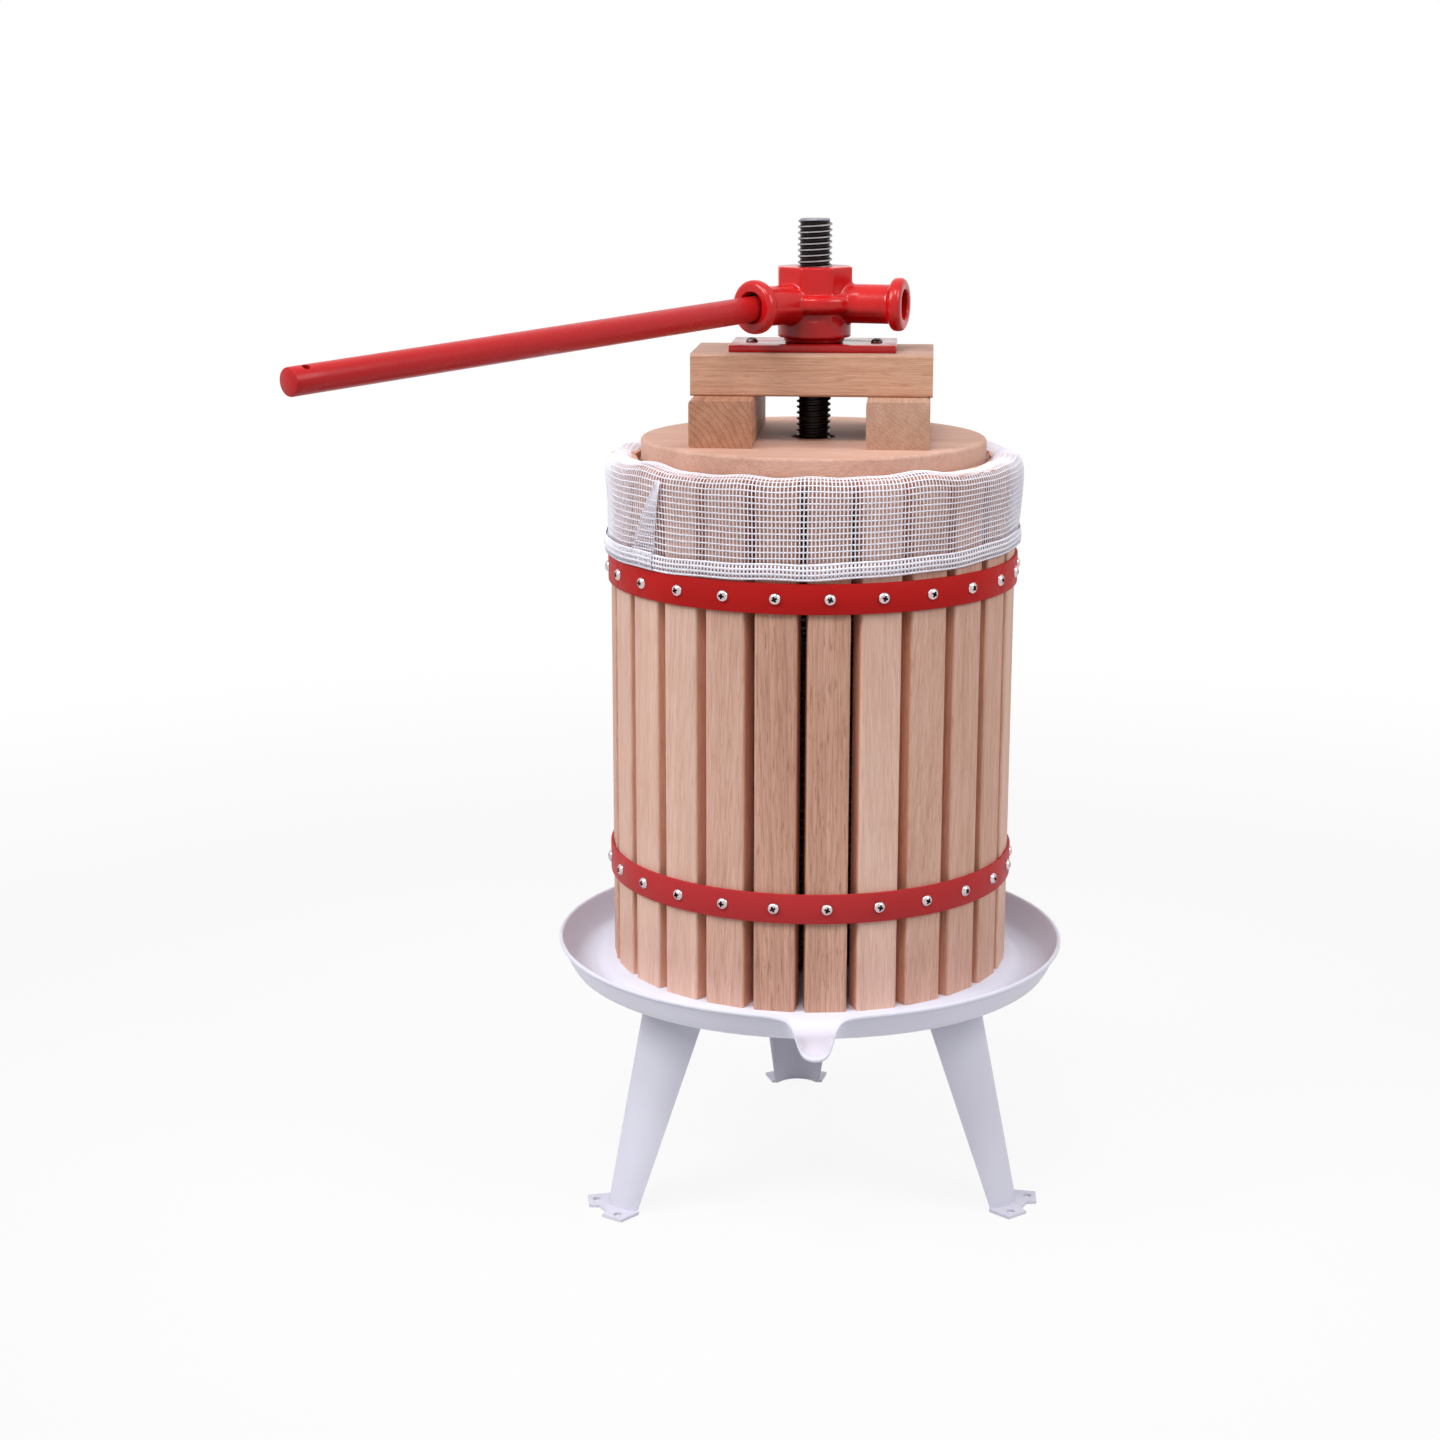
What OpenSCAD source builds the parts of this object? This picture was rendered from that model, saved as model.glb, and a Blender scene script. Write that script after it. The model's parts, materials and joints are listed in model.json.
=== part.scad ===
// Basket fruit press: a slatted wooden basket on a pouring pan with three legs,
// a fixed threaded spindle, and a cast nut with a long bar that drives a stack of wood down on the fruit.
// The origin is on the spindle axis at floor level, and the pouring lip points towards -Y.

/* [Basket] */
// Number of staves in the basket
stave_count = 25; // [12:1:32]
// Distance from the axis to the outer face of a stave
basket_r = 142.5; // [130:0.5:170]
// Width of one stave
stave_w = 28.5; // [14:0.5:30]
// Thickness of one stave
stave_t = 18; // [12:0.5:20]
// Length of one stave
stave_h = 364; // [300:1:420]
// Rounding of a stave's long edges
stave_edge_r = 2; // [0.5:0.25:4]
// Turn of the whole basket about the axis
basket_turn = 4.7; // [-20:0.1:20]

/* [Hoops] */
// Height of one hoop band
hoop_w = 20.5; // [12:0.5:30]
// Thickness of the hoop band
hoop_t = 2; // [1:0.25:4]
// Gap between the stave edges and the hoop
hoop_gap = 0.07; // [0.02:0.01:0.3]
// Height of the lower hoop's bottom edge over the staves' feet
hoop_low_z = 64; // [30:1:120]
// Height of the upper hoop's bottom edge over the staves' feet
hoop_high_z = 277; // [200:1:300]
// Diameter of a hoop screw's shank
screw_d = 4; // [3:0.25:5]
// Diameter of a hoop screw's head
screw_head_d = 8.4; // [6:0.2:10]
// Height of a hoop screw's head
screw_head_h = 2.6; // [1.5:0.1:4]
// Depth that a hoop screw reaches into its stave
screw_bite = 13; // [6:0.5:14]
// Radial gap between a screw and its hole
screw_gap = 0.05; // [0.02:0.01:0.2]

/* [Bag] */
// Thickness of the bag cloth as a solid
bag_t = 0.8; // [0.5:0.1:1.5]
// Gap between the bag and the wood
bag_gap = 0.4; // [0.3:0.05:1]
// Height of the cuff that is turned down over the basket's rim
cuff_h = 61.5; // [30:0.5:80]
// Height of the doubled hem at the cuff's end
hem_h = 9.5; // [4:0.5:16]
// Extra thickness of the doubled hem
hem_t = 0.5; // [0.2:0.1:1]
// How far the cuff stands off the basket near its top
cuff_bulge = 1.8; // [0:0.1:4]
// Depth of the cuff's soft waves
cuff_wave = 1; // [0:0.1:2]
// How far the hem hangs lower on one side than its mean, as the cuff is pulled down unevenly
hem_sway = 3.6; // [0:0.1:4]
// Direction in which the hem hangs lowest
hem_turn = -155; // [-180:1:180]
// Rise and fall of the hem's small waves
hem_wave = 0.5; // [0:0.1:1]
// Thickness of the pleat that the cuff is folded into
pleat_t = 0.9; // [0.3:0.1:1.5]
// Width of the pleat at the hem, as a turn
pleat_w = 6; // [3:0.5:12]
// Place of the pleat, as a turn about the axis
pleat_turn = -138; // [-180:1:180]
// Radius of the opening in the bag's bottom round the spindle
bag_eye_r = 30; // [26:0.5:40]

/* [Pan] */
// Height of the floor that the basket stands on
seat_z = 169.4; // [120:0.2:220]
// Radius of the raised flat seat
seat_r = 150; // [146:0.5:156]
// Depth of the juice channel under the seat
channel_d = 6.8; // [2:0.1:9]
// Width of the slope from the seat into the channel
channel_slope = 7; // [4:0.5:10]
// Width of the channel's flat floor
channel_w = 13.8; // [4:0.2:18]
// Outward run of the wall from the channel to the rim
wall_run = 10; // [6:0.2:20]
// Height of the rim over the seat
rim_h = 11.9; // [6:0.2:20]
// Thickness of the pan's sheet
pan_t = 1.6; // [1:0.1:3]
// Radius of the rolled edge
bead_r = 1.6; // [1:0.1:3]
// Half width of the pouring lip
lip_half = 13.6; // [9:0.2:18]
// How far the lip's tip stands out beyond the rim
lip_reach = 31; // [24:1:40]
// How far the lip's tip lies under the rim
lip_drop = 18.3; // [10:0.1:22]
// Half width of the dip in the rim on both sides of the lip
lip_skirt = 20; // [15:0.5:30]
// Turn of the pouring lip about the axis
lip_turn = 1.3; // [-20:0.1:20]

/* [Legs] */
// Distance from the axis to a foot's two corners
foot_r = 157; // [130:1:170]
// Distance from the axis to a leg's two corners under the pan
leg_top_r = 105.5; // [80:0.5:110]
// Radius of the leg's curved section at the foot
leg_r_low = 20.6; // [16:0.1:28]
// Radius of the leg's curved section under the pan
leg_r_high = 45; // [36:0.5:52]
// Share of the section's radius between its centre and its open side
leg_open = 0.5; // [0.3:0.05:0.6]
// Thickness of the leg's sheet
leg_t = 2; // [1.2:0.1:3]
// Thickness of the plate that closes a leg's top
leg_cap_t = 3; // [2:0.25:5]
// How far that plate stands out round the leg
leg_cap_lip = 2; // [1:0.25:4]
// Distance from the axis to the tips of a foot's two ears
ear_tip_r = 181; // [178:0.5:190]
// Half the width over both ears
ear_half = 25; // [23:0.5:30]
// How much an ear's outer corner falls back behind its tip
ear_slant = 7; // [3:0.5:10]
// Width of the notch between the ears, at its floor
notch_w = 11; // [6:0.5:14]
// Width of the notch at its mouth
notch_mouth = 19; // [14:0.5:22]
// Depth of the notch
notch_d = 6; // [3:0.5:9]
// Distance of the ears' holes from their tips
ear_hole_in = 9.5; // [8:0.5:12]
// Sideways distance between the two holes of one foot
ear_space = 31; // [28:0.5:36]
// Diameter of the hole in an ear
ear_hole_d = 6; // [4:0.25:7]
// Thickness of an ear
ear_t = 2.2; // [1.5:0.1:4]
// Distance from the axis to the bolts that hold the legs
bolt_r = 112; // [106:0.5:116]
// Sideways distance between the two bolts of one leg
bolt_space = 36; // [24:1:44]
// Diameter of a leg bolt's shank
bolt_d = 6; // [5:0.5:8]
// Turn of the three legs about the axis
leg_turn = 3.2; // [-20:0.1:20]

/* [Spindle] */
// Diameter over the thread
spindle_d = 24; // [18:0.5:30]
// Height of the spindle's top
spindle_top = 697; // [660:1:760]
// Length of the spindle below the pan
spindle_tail = 27; // [25:0.5:40]
// Chamfer at the spindle's top
spindle_chamfer = 2; // [1:0.25:3]
// Width across the flats of the spindle's nuts
spindle_nut_af = 36; // [32:0.5:38]
// Height of a spindle nut
spindle_nut_h = 16; // [12:0.5:20]
// Diameter of the plate washer under the pan
washer_d = 90; // [70:1:120]
// Thickness of the plate washer
washer_t = 5; // [3:0.5:8]
// Radial gap between the spindle and the pieces fixed on it
spindle_gap = 0.05; // [0.02:0.01:0.2]

/* [Pressing stack] */
// Height of the disc's top face
disc_top = 546.5; // [500:0.5:560]
// Radius of the pressing disc
disc_r = 121.4; // [105:0.2:122]
// Thickness of the pressing disc
disc_t = 26; // [18:0.5:32]
// Easing of the disc's edges
disc_edge = 1.5; // [0.5:0.25:4]
// Width of a block
block_w = 43; // [30:0.5:50]
// Length of a block
block_l = 148; // [110:1:150]
// Height of a block
block_h = 32; // [20:0.5:50]
// Length of the cross beam
beam_l = 166; // [140:1:180]
// Width of the cross beam
beam_w = 88; // [60:1:110]
// Height of the cross beam
beam_h = 29; // [20:0.5:45]
// Rounding of the long edges of beam and blocks
timber_edge_r = 2; // [0.5:0.25:4]
// Length of the bearing plate
plate_l = 115; // [90:1:140]
// Width of the bearing plate
plate_w = 67; // [56:1:80]
// Thickness of the bearing plate
plate_t = 5; // [3:0.5:8]
// Distance between the bearing plate's screws
plate_screw_space = 87; // [70:1:100]
// Diameter of the spindle's hole through the stack
stack_hole_d = 31; // [28:0.5:36]
// Turn of the stack about the axis
stack_turn = -2.5; // [-20:0.1:20]

/* [Head] */
// Diameter of the land that turns on the plate
land_d = 42; // [36:0.5:44]
// Height of the land
land_h = 3.5; // [1:0.25:6]
// Diameter of the round boss over the land
boss_d = 51; // [44:0.5:58]
// Height of the boss's upper end over the plate
boss_h = 14; // [8:0.5:20]
// Width across the flats of the eight-sided hub
hub_af = 48.4; // [40:0.2:56]
// Height of the eight-sided hub over the boss
hub_h = 38; // [34:0.5:46]
// Height of the arms' centre line over the plate
arm_z = 26.8; // [24:0.2:32]
// Diameter of an arm
arm_d = 27; // [25:0.5:30]
// Angle between the two arms
arm_spread = 116; // [100:1:130]
// Distance from the axis to an arm's end face
arm_r = 65; // [58:0.5:80]
// Diameter of the collar at an arm's end
collar_d = 36.6; // [32:0.2:42]
// Thickness of the collar
collar_t = 9.5; // [6:0.5:14]
// Rounding of the collar
collar_round = 3.5; // [1:0.25:4]
// Radius of the web that joins the arms
web_r = 31; // [28:0.5:36]
// Height of the web
web_h = 12; // [6:0.5:16]
// Diameter of the sockets
socket_d = 20.6; // [18:0.1:22]
// Depth of the sockets
socket_depth = 46; // [30:0.5:46]
// Radial gap between the spindle and the cast nut
thread_gap = 0.06; // [0.02:0.01:0.1]
// Direction of the bar, as a turn about the axis
head_turn = -132; // [-180:1:180]

/* [Bar] */
// Diameter of the bar
bar_d = 17.4; // [15:0.1:18]
// Distance from the axis to the bar's tip
bar_reach = 450; // [300:1:600]
// Droop of the bar, which lies loose in its socket
bar_droop = 3.1; // [0:0.1:3.2]
// Gap between the bar's inner end and the socket's floor
bar_end_gap = 1; // [0.3:0.1:3]
// Chamfer of the bar's ends
bar_chamfer = 1.2; // [0.5:0.1:2]
// Diameter of the cross hole near the tip
bar_hole_d = 5; // [3:0.25:8]
// Distance from the tip to the cross hole
bar_hole_in = 11; // [8:0.5:20]

/* [Hidden] */
$fn = 64;
leg_names = ["leg_rear", "leg_front_left", "leg_front_right"];
stave_names = [for (i = [1 : stave_count]) str("stave_", i < 10 ? "0" : "", i)];

wood = "burlywood";
pale_wood = "wheat";
red_paint = "firebrick";
pan_paint = "lavender";
steel = "dimgray";
zinc = "silver";

stave_step = 360 / stave_count;
stave_top = seat_z + stave_h;
stave_corner_r = norm([basket_r - stave_edge_r, stave_w / 2 - stave_edge_r]) + stave_edge_r;
basket_inner_r = basket_r - stave_t;
hoop_in_r = stave_corner_r + hoop_gap;
hoop_out_r = hoop_in_r + hoop_t;
rim_z = seat_z + rim_h;
channel_z = seat_z - channel_d;
channel_r = seat_r + channel_slope + channel_w;
pan_under = seat_z - pan_t;
pan_eye = spindle_d / 3;
leg_turns = [90, 210, 330];
bolt_head_h = 3.6;
bolt_head_d = 13;
bolt_nut_h = 5;
bolt_nut_af = 10;
bag_floor = seat_z + bolt_head_h + bag_gap;
liner_r = basket_inner_r - bag_gap;
cuff_r = stave_corner_r + bag_gap;
bag_fold = stave_top + bag_gap;
block_x = beam_l / 2 - block_w / 2 - 1.5;
beam_z = disc_top + block_h;
plate_z = beam_z + beam_h;
head_z = plate_z + plate_t;
hub_top = boss_h + hub_h;
socket_floor_r = arm_r - socket_depth;
bar_pivot_r = (socket_floor_r + arm_r) / 2;
bar_in = bar_pivot_r - socket_floor_r - bar_end_gap;
bar_out = (bar_reach - bar_pivot_r) / cos(bar_droop);
big = 400;

// A rectangle with round corners, centred
module round_rect(w, h, r) {
    square([w - 2 * r, h], center = true);
    square([w, h - 2 * r], center = true);
    for (sx = [-1, 1], sy = [-1, 1])
        translate([sx * (w / 2 - r), sy * (h / 2 - r)])
            circle(r);
}

// A dome-headed screw along +X, with its head's seat at x = 0
module dome_screw(d, head_d, head_h, bite) {
    rotate([0, 90, 0]) {
        translate([0, 0, -bite])
            cylinder(d = d, h = bite);
        rotate_extrude()
            intersection() {
                translate([0, head_h - dome_r(head_d, head_h)])
                    circle(dome_r(head_d, head_h), $fn = 96);
                square([head_d, head_h]);
            }
    }
}

// Radius of a dome of this width and height
function dome_r(d, h) = (d * d / 4 + h * h) / (2 * h);

// Directions along a path, one at each of its points
function path_dirs(path) = [
    for (i = [0 : len(path) - 1])
        let (step = path[min(i + 1, len(path) - 1)] - path[max(i - 1, 0)])
            step / norm(step)
];

// A path moved to its right by d, from its end back to its start
function path_back(path, d) =
    let (dirs = path_dirs(path))
        [for (i = [len(path) - 1 : -1 : 0]) path[i] + d * [dirs[i][1], -dirs[i][0]]];

// A solid ring through closed sections, which all have the same number of points
module ring_loft(sections) {
    n = len(sections);
    m = len(sections[0]);
    polyhedron(
        points = [for (section = sections) each section],
        faces = [
            for (j = [0 : n - 1], i = [0 : m - 1])
                let (k = (j + 1) % n, up = (i + 1) % m)
                    each [[j * m + i, k * m + up, j * m + up], [j * m + i, k * m + i, k * m + up]]
        ],
        convexity = 8
    );
}

// How far the lip stands out at the distance x from its middle: 1 at the tip, 0 in the plain rim
function lip_swell(x) = (1 - 0.3 * pow(min(1, abs(x) / lip_half), 2)) / (1 + pow(x / lip_half, 8));

// How far the rim dips there, in a wider curve
function lip_dip(x) = 0.75 * lip_swell(x) + 0.25 / (1 + pow(x / lip_skirt, 4));

// Upper surface of the pan from the spindle to the rim, at the distance x along the rim from the lip
function pan_line(x) = concat(
    [[pan_eye, seat_z], [seat_r, seat_z], [seat_r + channel_slope * 0.5, seat_z - channel_d * 0.55]],
    [[seat_r + channel_slope, channel_z]],
    [for (f = [0, 0.15, 0.3, 0.5, 0.7, 0.86, 1])
        [channel_r + f * (wall_run + lip_reach * lip_swell(x)),
            channel_z + pow(f, 1.45) * (rim_z - channel_z - lip_drop * lip_dip(x))]]
);

// The rolled edge at the end of a path, and the way back under the sheet
function rolled_back(path) =
    let (
        along = path_dirs(path)[len(path) - 1],
        under = [along[1], -along[0]],
        rim = path[len(path) - 1],
        back = path_back(path, pan_t)
    )
        concat(
            [for (a = [0 : 36 : 180]) rim + bead_r * ((1 - cos(a)) * under + sin(a) * along)],
            [rim - 1.3 * bead_r * along + pan_t * under],
            [for (i = [1 : len(back) - 1]) back[i]]
        );

// The pan's section at the turn a from the lip; the lip is pulled straight out of the round rim
function pan_section(a) =
    let (
        x = (channel_r + wall_run) * a * PI / 180,
        path = pan_line(x),
        share = wall_run / (wall_run + lip_reach * lip_swell(x))
    )
        [for (p = concat([for (i = [0 : len(path) - 2]) path[i]], rolled_back(path)))
            let (r = min(p[0], channel_r + (p[0] - channel_r) * share))
                [r * sin(a), r - p[0] - r * cos(a), p[1]]];

module base_pan() {
    lip_span = 12;
    fine = [for (a = [-lip_span : 0.6 : lip_span - 0.1]) a];
    plain = [for (a = [lip_span : 4 : 359 - lip_span]) a];
    color(pan_paint)
        difference() {
            rotate([0, 0, lip_turn])
                ring_loft([for (a = concat(fine, plain)) pan_section(a > 180 ? a - 360 : a)]);
            translate([0, 0, pan_under - 1])
                cylinder(r = spindle_d / 2 + spindle_gap, h = pan_t + 2);
            for (a = leg_turns)
                at_bolts(a)
                    translate([0, 0, pan_under - 1])
                        cylinder(d = bolt_d + 2 * screw_gap, h = pan_t + 2);
        }
}

// The two bolt places of the leg at turn a
module at_bolts(a) {
    for (side = [-1, 1])
        rotate([0, 0, a + leg_turn])
            translate([bolt_r, side * bolt_space / 2, 0])
                children();
}

// One leg, standing towards +X: a slice of a cone-shaped shell with a foot and a top plate
module leg(a) {
    cap_z = pan_under - leg_cap_t;
    axis_low = foot_r - leg_r_low * leg_open;
    axis_high = leg_top_r - leg_r_high * leg_open;
    color(pan_paint)
        rotate([0, 0, a + leg_turn])
            difference() {
                union() {
                    leg_shell(axis_low, axis_high, cap_z);
                    leg_cap(axis_high, cap_z);
                }
                for (side = [-1, 1])
                    translate([bolt_r, side * bolt_space / 2, cap_z - 1])
                        cylinder(d = bolt_d + 2 * screw_gap, h = leg_cap_t + 2);
                for (side = [-1, 1])
                    translate([ear_tip_r - ear_hole_in, side * ear_space / 2, -1])
                        cylinder(d = ear_hole_d, h = ear_t + 2);
            }
}

// The curved sheet with its foot, reaching a little way into the top plate
module leg_shell(axis_low, axis_high, cap_z) {
    open_lean = atan((foot_r - leg_top_r) / cap_z);
    difference() {
        union() {
            intersection() {
                leg_cone(axis_low, axis_high, cap_z, 0);
                translate([0, -big / 2, 0])
                    cube([big, big, cap_z + leg_cap_t / 2]);
            }
            leg_foot();
        }
        leg_cone(axis_low, axis_high, cap_z, leg_t);
        translate([foot_r, -big / 2, 0])
            rotate([0, -open_lean, 0])
                translate([-big, 0, -big / 2])
                    cube([big, big, big]);
    }
}

// The leaning cone that a leg is cut from, made thinner all round by cut
module leg_cone(axis_low, axis_high, rise, cut) {
    over = 30;
    lean = atan((axis_low - axis_high) / rise);
    grow = (leg_r_high - leg_r_low) / rise;
    translate([axis_low + over * tan(lean), 0, -over])
        rotate([0, -lean, 0])
            cylinder(
                r1 = leg_r_low - grow * over - cut, r2 = leg_r_high + grow * over - cut,
                h = (rise + 2 * over) / cos(lean), $fn = 96
            );
}

// The plate that closes a leg's top and takes its bolts
module leg_cap(centre, z) {
    translate([0, 0, z])
        linear_extrude(leg_cap_t)
            intersection() {
                translate([centre, 0])
                    circle(leg_r_high / cos(20) + leg_cap_lip, $fn = 96);
                translate([leg_top_r - leg_cap_lip, -big / 2])
                    square(big);
            }
}

// The flange that is turned out round a foot, with a notch between its two ears
module leg_foot() {
    leg_half = leg_r_low * sqrt(1 - leg_open * leg_open);
    edge = [
        [foot_r - 4, leg_half + 1], [ear_tip_r - ear_slant, ear_half], [ear_tip_r, notch_mouth / 2],
        [ear_tip_r - notch_d, notch_w / 2]
    ];
    linear_extrude(ear_t)
        polygon(concat(edge, [for (i = [len(edge) - 1 : -1 : 0]) [edge[i][0], -edge[i][1]]]));
}

module leg_bolts() {
    color(zinc)
        for (a = leg_turns)
            at_bolts(a)
                translate([0, 0, seat_z])
                    rotate([0, -90, 0])
                        dome_screw(bolt_d, bolt_head_d, bolt_head_h, pan_t + leg_cap_t + bolt_nut_h + 2);
}

module leg_nuts() {
    color(zinc)
        for (a = leg_turns)
            at_bolts(a)
                translate([0, 0, pan_under - leg_cap_t - bolt_nut_h])
                    difference() {
                        cylinder(d = bolt_nut_af / cos(30), h = bolt_nut_h, $fn = 6);
                        translate([0, 0, -1])
                            cylinder(d = bolt_d + 2 * screw_gap, h = bolt_nut_h + 2);
                    }
}

module spindle() {
    r = spindle_d / 2;
    color(steel)
        rotate_extrude()
            polygon([
                [0, seat_z - spindle_tail], [r, seat_z - spindle_tail], [r, spindle_top - spindle_chamfer],
                [r - spindle_chamfer, spindle_top], [0, spindle_top]
            ]);
}

module on_spindle(h) {
    difference() {
        children();
        translate([0, 0, -1])
            cylinder(r = spindle_d / 2 + spindle_gap, h = h + 2);
    }
}

module spindle_washer() {
    color(zinc)
        translate([0, 0, pan_under - washer_t])
            on_spindle(washer_t)
                cylinder(d = washer_d, h = washer_t);
}

module spindle_hex() {
    on_spindle(spindle_nut_h)
        cylinder(d = spindle_nut_af / cos(30), h = spindle_nut_h, $fn = 6);
}

module spindle_lower_nut() {
    color(zinc)
        translate([0, 0, pan_under - washer_t - spindle_nut_h])
            spindle_hex();
}

module spindle_upper_nut() {
    color(zinc)
        translate([0, 0, seat_z])
            spindle_hex();
}

// Turn of stave i, counted from the one nearest the pouring lip
function stave_angle(i) = -90 + basket_turn + (i - 1) * stave_step;

// Screw places of a hoop whose bottom edge is at z
module at_hoop_screws(z) {
    for (i = [1 : stave_count])
        rotate([0, 0, stave_angle(i)])
            translate([hoop_out_r, 0, z + hoop_w / 2])
                children();
}

module screw_hole() {
    rotate([0, -90, 0])
        translate([0, 0, -2])
            cylinder(d = screw_d + 2 * screw_gap, h = screw_bite + hoop_out_r - basket_r + 2.5, $fn = 32);
}

module stave(i) {
    color(i % 3 == 0 ? pale_wood : wood)
        rotate([0, 0, stave_angle(i)])
            difference() {
                translate([basket_r - stave_t / 2, 0, seat_z])
                    linear_extrude(stave_h)
                        round_rect(stave_t, stave_w, stave_edge_r, $fn = 24);
                for (z = [hoop_low_z, hoop_high_z])
                    translate([hoop_out_r, 0, seat_z + z + hoop_w / 2])
                        screw_hole();
            }
}

module hoop(z) {
    color(red_paint)
        difference() {
            translate([0, 0, z])
                difference() {
                    cylinder(r = hoop_out_r, h = hoop_w, $fn = 160);
                    translate([0, 0, -1])
                        cylinder(r = hoop_in_r, h = hoop_w + 2, $fn = 160);
                }
            at_hoop_screws(z)
                screw_hole();
        }
}

module hoop_screws(z) {
    color(zinc)
        at_hoop_screws(z)
            dome_screw(screw_d, screw_head_d, screw_head_h, screw_bite + hoop_out_r - basket_r);
}

// Soft waves round the bag, each between -1 and 1
function waves(a) = (sin(5 * a + 40) + 0.7 * sin(8 * a + 110) + 0.6 * sin(13 * a)) / 2.3;
function ripples(a) = (sin(9 * a + 20) + 0.8 * sin(17 * a + 75)) / 1.8;

// Thickness of the pleat at the turn a, at the share k of the way down from the fold to the hem
function pleat(a, k) =
    let (side = (pleat_turn - a) / max(0.2, k * pleat_w))
        pleat_t * max(0, min(1, 4 * side, 4 * (1 - side)));

// The bag's visible side at the turn a: its floor, the liner, the fold over the rim and the cuff
function bag_line(a) =
    let (
        soft = cuff_wave * (1 + waves(a)) / 2,
        low = stave_top - cuff_h - hem_sway * cos(a - hem_turn) + hem_wave * ripples(a),
        fold = bag_fold + bag_t,
        out = cuff_r + bag_t + soft * 0.3,
        inner = liner_r - bag_t
    )
        [
            [bag_eye_r, bag_floor + bag_t], [inner - 3, bag_floor + bag_t], [inner, bag_floor + bag_t + 3],
            [inner, stave_top - cuff_h], [inner, fold - 3], [inner + 2, fold + 0.6 * soft],
            [inner + 9, fold + 1.2 * soft], [out - 6, fold + 1.2 * soft], [out - 0.5 + soft, fold - 0.2 + 0.4 * soft],
            [out + cuff_bulge * 0.8 + soft + pleat(a, 0.15), fold - 6],
            [out + cuff_bulge + soft + pleat(a, 0.3), fold - 15],
            [out + cuff_bulge * 0.5 + pleat(a, 0.6), (fold + low) / 2],
            [out + pleat(a, 0.85), low + hem_h + 2],
            [out + hem_t + pleat(a, 0.9), low + hem_h], [out + hem_t + pleat(a, 1), low]
        ];

module press_bag() {
    fine = [for (a = [pleat_turn - pleat_w - 2 : 0.75 : pleat_turn + 1.5]) a];
    plain = [for (a = [pleat_turn + 4 : 4 : pleat_turn + 356 - pleat_w - 2]) a];
    color("white")
        ring_loft([
            for (a = concat(fine, plain))
                let (path = bag_line(a > 180 ? a - 360 : a))
                    [for (p = concat(path, path_back(path, bag_t))) [p[0] * cos(a), p[0] * sin(a), p[1]]]
        ]);
}

module stack_hole(z, h) {
    translate([0, 0, z - 1])
        cylinder(d = stack_hole_d, h = h + 2);
}

module press_disc() {
    color(wood)
        difference() {
            translate([0, 0, disc_top - disc_t])
                rotate_extrude($fn = 160)
                    polygon([
                        [0, 0], [disc_r - disc_edge, 0], [disc_r, disc_edge], [disc_r, disc_t - disc_edge],
                        [disc_r - disc_edge, disc_t], [0, disc_t]
                    ]);
            stack_hole(disc_top - disc_t, disc_t);
        }
}

module block(side) {
    color(wood)
        rotate([0, 0, stack_turn])
            translate([side * block_x, block_l / 2, disc_top + block_h / 2])
                rotate([90, 0, 0])
                    linear_extrude(block_l)
                        round_rect(block_w, block_h, timber_edge_r, $fn = 24);
}

module cross_beam() {
    color(pale_wood)
        difference() {
            rotate([0, 0, stack_turn])
                translate([-beam_l / 2, 0, beam_z + beam_h / 2])
                    rotate([90, 0, 90])
                        linear_extrude(beam_l)
                            round_rect(beam_w, beam_h, timber_edge_r, $fn = 24);
            stack_hole(beam_z, beam_h);
            at_plate_screws()
                cylinder(d = screw_d + 2 * screw_gap, h = 2 * screw_bite, center = true);
        }
}

module at_plate_screws() {
    for (side = [-1, 1])
        rotate([0, 0, stack_turn])
            translate([side * plate_screw_space / 2, 0, plate_z])
                children();
}

module bearing_plate() {
    color(red_paint)
        difference() {
            rotate([0, 0, stack_turn])
                translate([0, 0, plate_z])
                    linear_extrude(plate_t)
                        square([plate_l, plate_w], center = true);
            stack_hole(plate_z, plate_t);
            at_plate_screws()
                cylinder(d = screw_d + 2 * screw_gap, h = 3 * plate_t, center = true);
        }
}

module plate_screws() {
    color(zinc)
        at_plate_screws()
            translate([0, 0, plate_t])
                rotate([0, -90, 0])
                    dome_screw(screw_d, screw_head_d, screw_head_h, screw_bite + plate_t - 0.5);
}

// One arm of the cast nut along +X, with a rounded collar at its end
module head_arm() {
    rotate([0, 90, 0]) {
        cylinder(d = arm_d, h = arm_r - collar_round);
        translate([0, 0, arm_r - collar_t])
            rotate_extrude() {
                square([collar_d / 2 - collar_round, collar_t]);
                translate([0, collar_round])
                    square([collar_d / 2, collar_t - 2 * collar_round]);
                for (z = [collar_round, collar_t - collar_round])
                    translate([collar_d / 2 - collar_round, z])
                        circle(collar_round, $fn = 32);
            }
    }
}

module press_nut() {
    color(red_paint)
        translate([0, 0, head_z])
            rotate([0, 0, head_turn])
                difference() {
                    union() {
                        cylinder(d = land_d, h = land_h + 1);
                        translate([0, 0, land_h])
                            cylinder(d = boss_d, h = boss_h - land_h + 1);
                        translate([0, 0, boss_h])
                            rotate([0, 0, 22.5])
                                cylinder(d = hub_af / cos(22.5), h = hub_h, $fn = 8);
                        translate([0, 0, arm_z])
                            rotate_extrude() {
                                translate([0, -web_h / 2])
                                    square([web_r - web_h / 2, web_h]);
                                translate([web_r - web_h / 2, 0])
                                    circle(web_h / 2, $fn = 32);
                            }
                        for (a = [0, arm_spread])
                            rotate([0, 0, a])
                                translate([0, 0, arm_z])
                                    head_arm();
                    }
                    translate([0, 0, -1])
                        cylinder(r = spindle_d / 2 + thread_gap, h = hub_top + 2);
                    for (a = [0, arm_spread])
                        rotate([0, 0, a])
                            translate([socket_floor_r, 0, arm_z])
                                rotate([0, 90, 0])
                                    cylinder(d = socket_d, h = socket_depth + 1);
                }
}

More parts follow.
